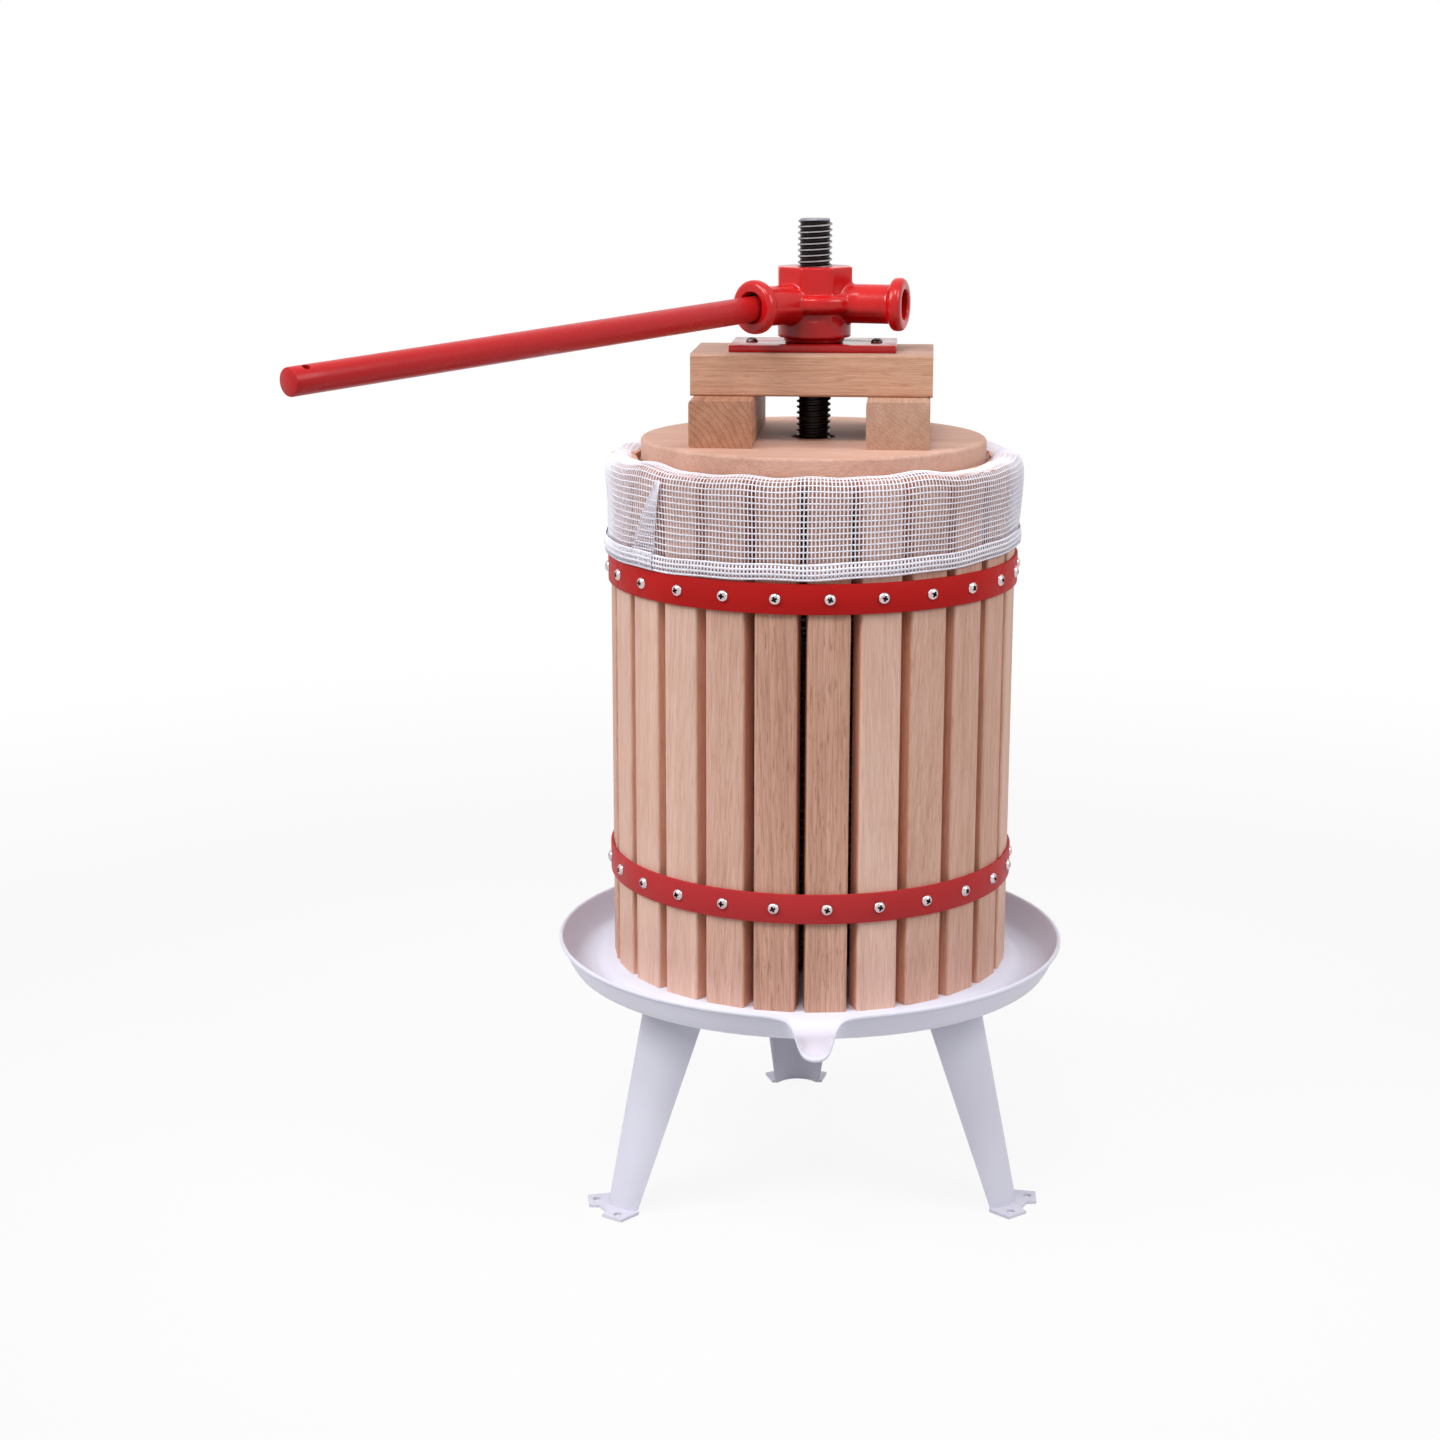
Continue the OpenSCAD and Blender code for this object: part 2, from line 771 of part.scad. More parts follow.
module handle_bar() {
    r = bar_d / 2;
    color(red_paint)
        rotate([0, 0, head_turn])
            translate([bar_pivot_r, 0, head_z + arm_z])
                rotate([0, 90 + bar_droop, 0])
                    difference() {
                        rotate_extrude()
                            polygon([
                                [0, -bar_in], [r - bar_chamfer, -bar_in], [r, bar_chamfer - bar_in],
                                [r, bar_out - bar_chamfer], [r - bar_chamfer, bar_out], [0, bar_out]
                            ]);
                        translate([-bar_d, 0, bar_out - bar_hole_in])
                            rotate([0, 90, 0])
                                cylinder(d = bar_hole_d, h = 2 * bar_d, $fn = 32);
                    }
}

base_pan();
for (k = [0 : len(leg_names) - 1])
    leg(leg_turns[k]);
leg_bolts();
leg_nuts();
spindle();
spindle_washer();
spindle_lower_nut();
spindle_upper_nut();
for (i = [1 : stave_count])
    stave(i);
hoop(seat_z + hoop_high_z);  // hoop_upper
hoop(seat_z + hoop_low_z);  // hoop_lower
hoop_screws(seat_z + hoop_high_z);  // hoop_screws_upper
hoop_screws(seat_z + hoop_low_z);  // hoop_screws_lower
press_bag();
press_disc();
block(-1);  // block_left
block(1);  // block_right
cross_beam();
bearing_plate();
plate_screws();
press_nut();
handle_bar();
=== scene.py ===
import json
import math
import random

import bpy
import numpy as np
from mathutils import Matrix, Vector

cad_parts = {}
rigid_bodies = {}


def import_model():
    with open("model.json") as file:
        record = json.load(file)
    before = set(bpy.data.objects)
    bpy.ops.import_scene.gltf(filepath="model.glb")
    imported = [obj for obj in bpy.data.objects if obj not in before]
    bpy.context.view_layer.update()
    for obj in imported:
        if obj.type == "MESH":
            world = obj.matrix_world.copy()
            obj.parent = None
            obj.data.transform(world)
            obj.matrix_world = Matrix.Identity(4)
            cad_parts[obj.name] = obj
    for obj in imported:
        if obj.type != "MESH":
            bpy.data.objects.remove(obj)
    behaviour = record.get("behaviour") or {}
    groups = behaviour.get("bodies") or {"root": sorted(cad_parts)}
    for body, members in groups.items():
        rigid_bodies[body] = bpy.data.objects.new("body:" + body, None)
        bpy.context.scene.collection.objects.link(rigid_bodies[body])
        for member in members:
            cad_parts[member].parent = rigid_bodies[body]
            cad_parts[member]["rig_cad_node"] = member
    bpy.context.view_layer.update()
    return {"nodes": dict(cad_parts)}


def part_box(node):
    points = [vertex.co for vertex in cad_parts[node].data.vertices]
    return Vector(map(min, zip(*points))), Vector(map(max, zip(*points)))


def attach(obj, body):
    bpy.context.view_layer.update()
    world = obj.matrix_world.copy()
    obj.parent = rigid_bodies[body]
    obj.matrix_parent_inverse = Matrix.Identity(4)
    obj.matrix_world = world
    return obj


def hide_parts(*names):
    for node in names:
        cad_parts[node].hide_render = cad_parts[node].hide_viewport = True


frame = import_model()
print("frame loaded:", len(frame["nodes"]), "nodes")


# modelling helpers
def clearSelection():
    active = bpy.context.view_layer.objects.active
    if active and active.mode != "OBJECT":
        bpy.ops.object.mode_set(mode="OBJECT")
    bpy.ops.object.select_all(action="DESELECT")


def focus(piece):
    clearSelection()
    piece.select_set(True)
    bpy.context.view_layer.objects.active = piece


def useModifier(piece, kind, **settings):
    focus(piece)
    step = piece.modifiers.new(kind.title(), kind)
    for name, value in settings.items():
        setattr(step, name, value)
    bpy.ops.object.modifier_apply(modifier=step.name)


def softenEdges(piece, width, segments, degrees):
    useModifier(piece, "BEVEL", width=width, segments=segments, limit_method="ANGLE", angle_limit=math.radians(degrees))


def smoothShade(piece, degrees):
    focus(piece)
    bpy.ops.object.shade_smooth_by_angle(angle=math.radians(degrees))


def settle(piece):
    focus(piece)
    bpy.ops.object.transform_apply(location=True, rotation=True, scale=True)


def mergeDoubles(piece, gap=2e-6, outward=False):
    focus(piece)
    bpy.ops.object.mode_set(mode="EDIT")
    bpy.ops.mesh.select_all(action="SELECT")
    bpy.ops.mesh.remove_doubles(threshold=gap)
    if outward:
        bpy.ops.mesh.normals_make_consistent(inside=False)
    bpy.ops.object.mode_set(mode="OBJECT")


def bisectAt(piece, height, **settings):
    focus(piece)
    bpy.ops.object.mode_set(mode="EDIT")
    bpy.ops.mesh.select_all(action="SELECT")
    bpy.ops.mesh.bisect(plane_co=(0, 0, height), plane_no=(0, 0, 1), **settings)
    bpy.ops.object.mode_set(mode="OBJECT")


def paint(piece, finish):
    piece.data.materials.clear()
    piece.data.materials.append(finish)


def copyNode(node, name):
    focus(frame["nodes"][node])
    bpy.ops.object.duplicate()
    piece = bpy.context.view_layer.objects.active
    piece.name = name
    piece.data.name = name
    del piece["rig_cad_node"]
    mergeDoubles(piece)
    bpy.ops.mesh.customdata_custom_splitnormals_clear()
    return piece


def finishPiece(piece, body, slot, *nodes):
    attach(piece, body)
    if nodes:
        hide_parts(*nodes)


# a line of points pulled out of a single vertex
def traceLine(name, points):
    clearSelection()
    bpy.ops.mesh.primitive_plane_add(size=0.001, location=(0, 0, 0))
    line = bpy.context.object
    line.name = name
    bpy.ops.object.mode_set(mode="EDIT")
    bpy.ops.mesh.select_all(action="SELECT")
    bpy.ops.mesh.merge(type="CENTER")
    bpy.ops.transform.translate(value=points[0])
    for before, after in zip(points, points[1:]):
        move = [b - a for a, b in zip(before, after)]
        bpy.ops.mesh.extrude_vertices_move(TRANSFORM_OT_translate={"value": move})
    bpy.ops.object.mode_set(mode="OBJECT")
    return line


# a traced line spun about the z axis, rising by its pitch on each round
def spinLine(line, steps, pitch=0, rounds=1):
    useModifier(line, "SCREW", axis="Z", angle=2 * math.pi, screw_offset=pitch, iterations=rounds, steps=steps,
                render_steps=steps, use_merge_vertices=True, merge_threshold=1e-6)
    mergeDoubles(line, outward=True)


# material helpers
def newFinish(name):
    finish = bpy.data.materials.new(name)
    finish.use_nodes = True
    return finish, finish.node_tree, finish.node_tree.nodes["Principled BSDF"]


def addNode(tree, kind, **values):
    node = tree.nodes.new("ShaderNode" + kind)
    for name, value in values.items():
        if name in node.inputs:
            node.inputs[name].default_value = value
        else:
            setattr(node, name, value)
    return node


def grey(value):
    return (value, value, value)


def ramp(tree, source, stops):
    node = addNode(tree, "ValToRGB")
    band = node.color_ramp
    while len(band.elements) < len(stops):
        band.elements.new(0.5)
    for element, (place, colour) in zip(band.elements, stops):
        element.position = place
        element.color = (*colour, 1)
    tree.links.new(source, node.inputs["Fac"])
    return node.outputs["Color"]


def greyRamp(tree, source, stops):
    return ramp(tree, source, [(place, grey(tone)) for place, tone in stops])


def mapRange(tree, source, fromSpan, toSpan=(0, 1), kind="LINEAR"):
    node = addNode(tree, "MapRange", interpolation_type=kind)
    for name, value in zip(("From Min", "From Max", "To Min", "To Max"), (*fromSpan, *toSpan)):
        node.inputs[name].default_value = value
    tree.links.new(source, node.inputs["Value"])
    return node.outputs["Result"]


def blendColour(tree, mode, amount, first, second):
    node = addNode(tree, "Mix", data_type="RGBA", blend_type=mode)
    for socket, value in ((node.inputs[0], amount), (node.inputs[6], first), (node.inputs[7], second)):
        if hasattr(value, "is_linked"):
            tree.links.new(value, socket)
        else:
            socket.default_value = value if isinstance(value, float) else (*value, 1)
    return node.outputs[2]


def placeCoords(tree, scale=(1, 1, 1), shift=(0, 0, 0), turn=(0, 0, 0)):
    coords = addNode(tree, "TexCoord")
    turning = addNode(tree, "Mapping", Rotation=turn)
    mapping = addNode(tree, "Mapping", Location=shift, Scale=scale)
    tree.links.new(coords.outputs["Object"], turning.inputs["Vector"])
    tree.links.new(turning.outputs["Vector"], mapping.inputs["Vector"])
    return mapping.outputs["Vector"]


def levelPart(tree, place):
    node = addNode(tree, "VectorMath", operation="MULTIPLY")
    node.inputs[1].default_value = (1, 1, 0)
    tree.links.new(place, node.inputs[0])
    return node.outputs["Vector"]


# distance from the z axis
def axisReach(tree, place):
    node = addNode(tree, "VectorMath", operation="LENGTH")
    tree.links.new(levelPart(tree, place), node.inputs[0])
    return node.outputs["Value"]


def heightOf(tree, place):
    node = addNode(tree, "SeparateXYZ")
    tree.links.new(place, node.inputs[0])
    return node.outputs["Z"]


def noise(tree, vector, scale, detail=3.0, rough=0.55):
    node = addNode(tree, "TexNoise", Scale=scale, Detail=detail, Roughness=rough)
    tree.links.new(vector, node.inputs["Vector"])
    return node.outputs["Fac"]


def bumpFrom(tree, shader, height, strength, distance):
    node = addNode(tree, "Bump", Strength=strength, Distance=distance)
    tree.links.new(height, node.inputs["Height"])
    tree.links.new(node.outputs["Normal"], shader.inputs["Normal"])


# camera at the photograph's angle
view = {"place": (0, -1.7776, 0.7657), "tilt": 76.553, "turn": 2.119, "lens": 63.19, "sensor": 36}
clearSelection()
bpy.ops.object.camera_add(location=view["place"],
                          rotation=(math.radians(view["tilt"]), 0, math.radians(view["turn"])))
camera = bpy.context.object
camera.data.lens = view["lens"]
camera.data.sensor_width = view["sensor"]
bpy.context.scene.camera = camera
bpy.context.scene.view_settings.view_transform = "Standard"

# studio: soft lamps from above, a sky that is brighter overhead, a pale floor and a white surround
studio = {
    "lamps": [("keyLamp", (-2.0, -1.2, 2.3), 1.4, 60), ("glintLamp", (-0.3, -1.4, 2.9), 0.7, 22),
              ("sideLamp", (2.1, -1.2, 2.1), 1.4, 38)],
    "aim": (0, 0, 0.4), "sky": (0.22, 0.52), "floorSize": 14, "floorZ": -0.0003, "floorRough": 0.9,
    "glowR": (0.4, 2.0), "glow": (0.9, 1.0), "toneR": (0.3, 1.2), "tone": (0.66, 0.10),
}
for lampName, place, size, power in studio["lamps"]:
    clearSelection()
    bpy.ops.object.light_add(type="AREA", location=place)
    lamp = bpy.context.object
    lamp.name = lampName
    lamp.data.size = size
    lamp.data.energy = power
    aim = Vector(studio["aim"]) - Vector(place)
    lamp.rotation_euler = aim.to_track_quat("-Z", "Y").to_euler()


# 1 where the camera sees a thing, directly or in a reflection
def seenFactor(tree):
    path = addNode(tree, "LightPath")
    first = addNode(tree, "Math", operation="MAXIMUM")
    second = addNode(tree, "Math", operation="MAXIMUM")
    tree.links.new(path.outputs["Is Camera Ray"], first.inputs[0])
    tree.links.new(path.outputs["Is Glossy Ray"], first.inputs[1])
    tree.links.new(first.outputs[0], second.inputs[0])
    tree.links.new(path.outputs["Is Transmission Ray"], second.inputs[1])
    return second.outputs[0]


def mixShaders(tree, share, first, second, target):
    node = addNode(tree, "MixShader")
    for socket, source in zip(node.inputs, (share, first.outputs[0], second.outputs[0])):
        tree.links.new(source, socket)
    tree.links.new(node.outputs[0], target)


world = bpy.data.worlds.new("surround")
bpy.context.scene.world = world
world.use_nodes = True
worldTree = world.node_tree
worldTree.nodes.clear()
skyHeight = heightOf(worldTree, addNode(worldTree, "TexCoord").outputs["Generated"])
sky = addNode(worldTree, "Background", Color=(1, 1, 1, 1))
worldTree.links.new(mapRange(worldTree, skyHeight, (0, 1), studio["sky"]), sky.inputs["Strength"])
white = addNode(worldTree, "Background", Color=(1, 1, 1, 1), Strength=1.0)
mixShaders(worldTree, seenFactor(worldTree), sky, white, addNode(worldTree, "OutputWorld").inputs["Surface"])

clearSelection()
bpy.ops.mesh.primitive_plane_add(size=studio["floorSize"], location=(0, 0, studio["floorZ"]))
floor = bpy.context.object
floor.name = "floor"
settle(floor)
floorFinish, floorTree, floorShader = newFinish("floorWhite")
floorShader.inputs["Roughness"].default_value = studio["floorRough"]
floorReach = axisReach(floorTree, placeCoords(floorTree))
floorTone = mapRange(floorTree, floorReach, studio["toneR"], studio["tone"], "SMOOTHSTEP")
floorTree.links.new(floorTone, floorShader.inputs["Base Color"])
floorShare = addNode(floorTree, "Math", operation="MULTIPLY")
floorTree.links.new(seenFactor(floorTree), floorShare.inputs[0])
floorFade = mapRange(floorTree, floorReach, studio["glowR"], studio["glow"], "SMOOTHSTEP")
floorTree.links.new(floorFade, floorShare.inputs[1])
floorGlow = addNode(floorTree, "Emission", Color=(1, 1, 1, 1), Strength=1.0)
floorOut = floorTree.nodes["Material Output"]
mixShaders(floorTree, floorShare.outputs[0], floorShader, floorGlow, floorOut.inputs["Surface"])
paint(floor, floorFinish)
print("camera and studio ready")

# wood: bare sanded boards, with grain along one axis
woodTones = {
    "pale": {"light": (0.755, 0.495, 0.40), "dark": (0.675, 0.425, 0.335), "pore": (0.56, 0.33, 0.25), "streak": 0.35},
    "rosy": {"light": (0.685, 0.42, 0.328), "dark": (0.595, 0.345, 0.258), "pore": (0.45, 0.235, 0.165), "streak": 0.5},
    "brown": {"light": (0.62, 0.352, 0.258), "dark": (0.52, 0.282, 0.198), "pore": (0.33, 0.155, 0.10), "streak": 0.85},
    "disc": {"light": (0.66, 0.405, 0.318), "dark": (0.59, 0.34, 0.258), "pore": (0.52, 0.285, 0.205), "streak": 0.4},
    "beam": {"light": (0.63, 0.37, 0.255), "dark": (0.55, 0.295, 0.19), "pore": (0.42, 0.195, 0.11), "streak": 0.6},
    "warm": {"light": (0.52, 0.265, 0.168), "dark": (0.415, 0.19, 0.113), "pore": (0.27, 0.10, 0.05), "streak": 0.4},
    "sandy": {"light": (0.53, 0.325, 0.235), "dark": (0.45, 0.255, 0.175), "pore": (0.40, 0.185, 0.115), "streak": 0.5},
}


def stretched(grain, share):
    return tuple(share if axis == grain else 1 for axis in "XYZ")


# how far a face looks away from the basket's axis, or upwards
def outwardShare(tree, about):
    coords = addNode(tree, "TexCoord")
    facing = addNode(tree, "VectorMath", operation="DOT_PRODUCT")
    tree.links.new(coords.outputs["Normal"], facing.inputs[0])
    if about == "axis":
        outward = addNode(tree, "VectorMath", operation="NORMALIZE")
        tree.links.new(levelPart(tree, coords.outputs["Object"]), outward.inputs[0])
        tree.links.new(outward.outputs["Vector"], facing.inputs[1])
    else:
        facing.inputs[1].default_value = (0, 0, 1)
    return facing.outputs["Value"]


# rings are those of the trunk, about a centre given in metres; the last argument tints faces by how far they look off
# the axis or upwards, as painted light and shade
def woodFinish(name, tone, grain, seed, ringCentre, ringGap, turn, ringDepth, pore, paintedLight=None):
    finish, tree, shader = newFinish(name)
    colours = woodTones[tone]
    rnd = random.Random(seed)
    shift = [rnd.uniform(-5, 5) for _ in range(3)]
    turned = [math.radians(t) for t in turn]
    along = placeCoords(tree, stretched(grain, 0.025), shift, turned)
    broad = noise(tree, along, 130, 3.0)
    fibre = noise(tree, along, 1500, 4.0, 0.65)
    streaks = noise(tree, placeCoords(tree, stretched(grain, pore), shift, turned), 800, 2.0, 0.5)
    wide = noise(tree, placeCoords(tree, stretched(grain, 0.4), shift), 16, 2.0)
    body = ramp(tree, broad, [(0.30, colours["dark"]), (0.68, colours["light"])])
    body = blendColour(tree, "SOFT_LIGHT", 0.7, body, greyRamp(tree, fibre, [(0.3, 0.22), (0.7, 0.78)]))
    body = blendColour(tree, "SOFT_LIGHT", 0.4, body, greyRamp(tree, wide, [(0.3, 0.36), (0.7, 0.64)]))
    rings = addNode(tree, "TexWave", wave_type="RINGS", rings_direction=grain, wave_profile="SAW",
                    Scale=math.pi / (10 * ringGap), Distortion=4.5, Detail=3.5)
    rings.inputs["Detail Scale"].default_value = 1.1
    ringScale = stretched(grain, 0.1)
    centre = [-c * k for c, k in zip(ringCentre, ringScale)]
    tree.links.new(placeCoords(tree, ringScale, centre, turned), rings.inputs["Vector"])
    late = greyRamp(tree, rings.outputs["Fac"], [(0.0, 1), (0.72, 0.88), (0.94, 0.55), (1.0, 0.95)])
    body = blendColour(tree, "MULTIPLY", ringDepth, body, late)
    pores = greyRamp(tree, streaks, [(0.58, 0), (0.72, colours["streak"])])
    body = blendColour(tree, "MIX", pores, body, colours["pore"])
    # painted light and shade: a tint by facing, warmer on the staves' sides seen in the gaps, darker and greyer on the
    # beam's top
    if paintedLight:
        sides = greyRamp(tree, outwardShare(tree, paintedLight["about"]), [(0.35, paintedLight["off"]), (0.7, paintedLight["on"])])
        body = blendColour(tree, "MULTIPLY", sides, body, paintedLight["tint"])
    tree.links.new(body, shader.inputs["Base Color"])
    tree.links.new(greyRamp(tree, fibre, [(0.2, 0.5), (0.8, 0.66)]), shader.inputs["Roughness"])
    shader.inputs["Specular IOR Level"].default_value = 0.3
    bumpFrom(tree, shader, fibre, 0.2, 0.0003)
    return finish


# powder coat and paint on metal
def coatFinish(name, colour, rough, gloss, peel, speck):
    finish, tree, shader = newFinish(name)
    free = placeCoords(tree)
    cloud = noise(tree, free, 14, 2.0)
    fine = noise(tree, free, 1400, 2.0)
    patch = noise(tree, free, 60, 3.0)
    pale = [min(1.0, c * (1 + speck)) for c in colour]
    deep = [c * (1 - speck) for c in colour]
    tree.links.new(ramp(tree, cloud, [(0.3, deep), (0.7, pale)]), shader.inputs["Base Color"])
    tree.links.new(greyRamp(tree, patch, [(0.3, rough - 0.05), (0.7, rough + 0.06)]), shader.inputs["Roughness"])
    shader.inputs["Specular IOR Level"].default_value = gloss
    bumpFrom(tree, shader, fine, peel, 0.0003)
    return finish


def metalFinish(name, colour, rough):
    finish, tree, shader = newFinish(name)
    scuff = noise(tree, placeCoords(tree), 900, 3.0)
    low = [c * 0.82 for c in colour]
    tree.links.new(ramp(tree, scuff, [(0.3, low), (0.7, colour)]), shader.inputs["Base Color"])
    tree.links.new(greyRamp(tree, scuff, [(0.3, rough - 0.06), (0.7, rough + 0.08)]), shader.inputs["Roughness"])
    shader.inputs["Metallic"].default_value = 1.0
    bumpFrom(tree, shader, scuff, 0.05, 0.0002)
    return finish


# colour, roughness, gloss, orange peel and speckle of each coat
panCoat = coatFinish("panCoat", (0.715, 0.71, 0.82), 0.45, 0.4, 0.06, 0.02)
# the legs take a darker copy of the pan's powder coat: painted shade
legCoat = coatFinish("legCoat", (0.645, 0.635, 0.73), 0.45, 0.4, 0.06, 0.02)
redCoat = coatFinish("redCoat", (0.455, 0.010, 0.009), 0.5, 0.14, 0.08, 0.05)
paintedSheenRed = coatFinish("paintedSheenRed", (0.448, 0.028, 0.031), 0.5, 0.16, 0.08, 0.05)  # painted sheen: a paler, pinker copy of the red coat for the lower hoop
barCoat = coatFinish("barCoat", (0.49, 0.011, 0.014), 0.30, 0.24, 0.015, 0.03)
castingRed = coatFinish("castingRed", (0.57, 0.006, 0.007), 0.18, 0.38, 0.10, 0.05)
# a darker, glossier copy of the red coat for the bearing plate: its darkness is painted shade
plateRed = coatFinish("plateRed", (0.36, 0.006, 0.007), 0.12, 0.4, 0.03, 0.05)
zincPlate = metalFinish("zincPlate", (0.62, 0.63, 0.66), 0.34)
# the screw steel is tinted pink: a painted reflection of the red hoops around it
brightSteel = metalFinish("brightSteel", (0.70, 0.575, 0.59), 0.16)
# painted shade: the screws' cross recesses are painted near black
recessSteel = metalFinish("recessSteel", (0.03, 0.022, 0.02), 0.5)
darkScrew = metalFinish("darkScrew", (0.13, 0.09, 0.085), 0.25)
print("finishes ready")

# staves keep their solids and get one of three tones each, cut from different boards
staves = {
    "count": 25, "turn": -85.3, "step": 14.4, "brown": [25, 1, 8, 14, 19], "rosy": [24, 3, 4, 5, 11, 16, 20],
    "depth": {"brown": 0.42, "rosy": 0.2, "pale": 0.12}, "lean": 3.5, "pore": 0.08,
    "swing": (0.35, 0.8), "heartR": (0.08, 0.12), "ringGap": (0.0022, 0.0045),
    # painted bounce light: the side faces, seen in the gaps between staves, tinted warmer
    "paintedLight": {"about": "axis", "off": 1, "on": 0, "tint": (1.1, 0.97, 0.88)},
}
staveNames = [f"stave_{number:02d}" for number in range(1, staves["count"] + 1)]
for number, node in enumerate(staveNames, 1):
    tone = next((t for t in ("brown", "rosy") if number in staves[t]), "pale")
    rnd = random.Random(100 + number)
    angle = math.radians(staves["turn"] + staves["step"] * (number - 1))
    angle += rnd.choice((-1, 1)) * rnd.uniform(*staves["swing"])
    heart = (rnd.uniform(*staves["heartR"]) * math.cos(angle), rnd.uniform(*staves["heartR"]) * math.sin(angle), 0)
    gap = rnd.uniform(*staves["ringGap"])
    lean = rnd.uniform(-staves["lean"], staves["lean"])
    lay = (lean * math.cos(angle), lean * math.sin(angle), 0)
    paint(frame["nodes"][node], woodFinish(f"staveWood{number:02d}", tone, "Z", number, heart, gap, lay,
                                           staves["depth"][tone], staves["pore"], staves["paintedLight"]))
print("staves painted")

# timber of the press stack: tone, grain, ring centre, ring gap, seed, ring depth and slot
timber = {
    "press_disc": ("disc", "X", (0, 0.3, 0.40), 0.005, 41, 0.12, "disc_wood"),
    "cross_beam": ("beam", "X", (0, 0.05, 0.30), 0.0045, 43, 0.22, "beam_wood"),
    "block_left": ("warm", "Y", (-0.105, 0, 0.530), 0.0042, 47, 0.75, "block_wood"),
    "block_right": ("sandy", "Y", (0.13, 0, 0.66), 0.0026, 53, 0.4, "block_wood"),
}
planed = {"edge": 0.0009, "lay": (0, 0, 2.5), "pore": 0.12}
paintedTopShade = {"cross_beam": {"about": "up", "off": 0, "on": 1, "tint": (0.80, 0.84, 0.95)}}  # painted shade: the beam's top face darker and greyer
for node, (tone, grain, centre, gap, seed, depth, slotName) in timber.items():
    piece = copyNode(node, node.replace("_", "") + "Wood")
    softenEdges(piece, planed["edge"], 3, 40)
    smoothShade(piece, 38)
    paint(piece, woodFinish(node + "Grain", tone, grain, seed, centre, gap, planed["lay"], depth, planed["pore"],
                            paintedTopShade.get(node)))
    finishPiece(piece, "press_stack", slotName, node)
print("timber ready")

# sheet metal: merged copies of the solids; coat, body, slot, edge radius and smoothing angle
sheets = {
    "base_pan": (panCoat, "base", "pan_coat", 0.0, 50),
    "leg_rear": (legCoat, "base", "pan_coat", 0.0, 40),
    "leg_front_left": (legCoat, "base", "pan_coat", 0.0, 40),
    "leg_front_right": (legCoat, "base", "pan_coat", 0.0, 40),
    "hoop_upper": (redCoat, "base", "red_coat", 0.0003, 30),
    "hoop_lower": (paintedSheenRed, "base", "red_coat", 0.0003, 30),
    "bearing_plate": (plateRed, "press_stack", "red_coat", 0.0008, 30),
    "spindle_washer": (zincPlate, "base", "zinc", 0.0004, 30),
    "spindle_lower_nut": (zincPlate, "base", "zinc", 0.0005, 25),
    "spindle_upper_nut": (zincPlate, "base", "zinc", 0.0005, 25),
}
for node, (finish, body, slotName, edge, angle) in sheets.items():
    piece = copyNode(node, node.replace("_", "") + "Sheet")
    if edge:
        softenEdges(piece, edge, 2, 50)
    smoothShade(piece, angle)
    paint(piece, finish)
    finishPiece(piece, body, slotName, node)
for node in ("leg_bolts", "leg_nuts"):
    paint(frame["nodes"][node], zincPlate)
print("sheet metal ready")

# bar: a round rod on the solid's axis, its cross hole rolled a little to the front
bar = {"turn": -132, "droop": 3.1, "endBand": 0.0005, "r": 0.0087, "sides": 72, "chamfer": 0.0012,
       "holeIn": 0.011, "holeR": 0.0025, "holeSides": 32, "roll": -24, "ringIn": 0.022}
turn, droop, roll = (math.radians(bar[name]) for name in ("turn", "droop", "roll"))
guess = Vector((math.cos(turn) * math.cos(droop), math.sin(turn) * math.cos(droop), -math.sin(droop)))
barPoints = [point.co.copy() for point in frame["nodes"]["handle_bar"].data.vertices]
reaches = [guess.dot(point) for point in barPoints]
ends = []
for limit in (min(reaches), max(reaches)):
    endRing = [point for point, reach in zip(barPoints, reaches) if abs(reach - limit) < bar["endBand"]]
    ends.append(sum(endRing, Vector()) / len(endRing))
along = (ends[1] - ends[0]).normalized()
length = (ends[1] - ends[0]).length
clearSelection()
bpy.ops.mesh.primitive_cylinder_add(vertices=bar["sides"], radius=bar["r"], depth=length, location=(0, 0, length / 2))
rod = bpy.context.object
rod.name = "handleBar"
settle(rod)
softenEdges(rod, bar["chamfer"], 2, 50)
bisectAt(rod, length - bar["ringIn"])  # keeps the faces about the hole short
clearSelection()
bpy.ops.mesh.primitive_cylinder_add(vertices=bar["holeSides"], radius=bar["holeR"], depth=4 * bar["r"],
                                    location=(0, 0, length - bar["holeIn"]), rotation=(0, math.pi / 2, 0))
drill = bpy.context.object
settle(drill)
useModifier(rod, "BOOLEAN", operation="DIFFERENCE", solver="EXACT", object=drill)
bpy.data.objects.remove(drill)
up = (Vector((0, 0, 1)) - along * along.z).normalized()
holeWay = up * math.cos(roll) + along.cross(up) * math.sin(roll)
lie = Matrix((holeWay, along.cross(holeWay), along)).transposed().to_4x4()
rod.data.transform(Matrix.Translation(ends[0]) @ lie)
smoothShade(rod, 30)
paint(rod, barCoat)
finishPiece(rod, "handle", "red_coat", "handle_bar")
print("bar ready:", len(rod.data.polygons), "faces")

